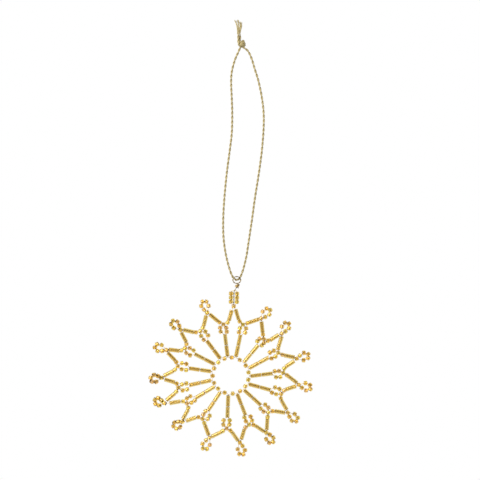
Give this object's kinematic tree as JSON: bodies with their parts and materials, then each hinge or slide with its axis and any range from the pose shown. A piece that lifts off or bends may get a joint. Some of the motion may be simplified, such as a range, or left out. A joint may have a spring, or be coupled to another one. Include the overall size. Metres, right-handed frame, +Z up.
{
  "type": "beaded snowflake ornament",
  "caption": "Snowflake of gold glass seed and tube beads strung on wire, with looped points, hung by a wire eye from a knotted loop of twisted cord.",
  "frame": {"origin": "the hanging point, inside the top of the cord's loop at the lower side of its knot", "axes": "+Z up along the hanging cord; the star lies in the XZ plane with its front towards -Y; +X to the right as seen from the front"},
  "size_m": [0.1027, 0.0113, 0.275],
  "materials": {
    "seed_beads": "round seed beads of lined amber gold glass, glossy with a pink and green sheen",
    "tube_beads": "cut tube beads of lined gold glass, glossy",
    "beading_wire": "thin bright gold wire, drawn and twisted by hand",
    "hanging_cord": "two plies of metallic gold thread twisted into a cord, satin"
  },
  "bodies": {
    "root": {"centre_ring": "seed_beads", "spoke_01": "tube_beads", "inner_loop_01": "seed_beads", "point_01": "tube_beads", "spoke_02": "tube_beads", "inner_loop_02": "seed_beads", "point_02": "tube_beads", "spoke_03": "tube_beads", "inner_loop_03": "seed_beads", "point_03": "tube_beads", "spoke_04": "tube_beads", "inner_loop_04": "seed_beads", "point_04": "tube_beads", "spoke_05": "tube_beads", "inner_loop_05": "seed_beads", "point_05": "tube_beads", "spoke_06": "tube_beads", "inner_loop_06": "seed_beads", "point_06": "tube_beads", "spoke_07": "tube_beads", "inner_loop_07": "seed_beads", "point_07": "tube_beads", "spoke_08": "tube_beads", "inner_loop_08": "seed_beads", "point_08": "tube_beads", "spoke_09": "tube_beads", "inner_loop_09": "seed_beads", "point_09": "tube_beads", "spoke_10": "tube_beads", "inner_loop_10": "seed_beads", "point_10": "tube_beads", "spoke_11": "tube_beads", "inner_loop_11": "seed_beads", "point_11": "tube_beads", "spoke_12": "tube_beads", "inner_loop_12": "seed_beads", "point_12": "tube_beads", "spoke_13": "tube_beads", "inner_loop_13": "seed_beads", "point_13": "tube_beads", "spoke_14": "tube_beads", "inner_loop_14": "seed_beads", "point_14": "tube_beads", "spoke_15": "tube_beads", "inner_loop_15": "seed_beads", "point_15": "tube_beads", "hanger_eye": "beading_wire", "hanging_cord": "hanging_cord", "cord_knot": "hanging_cord", "cord_tail_left": "hanging_cord", "cord_tail_right": "hanging_cord"}
  },
  "joints": []
}
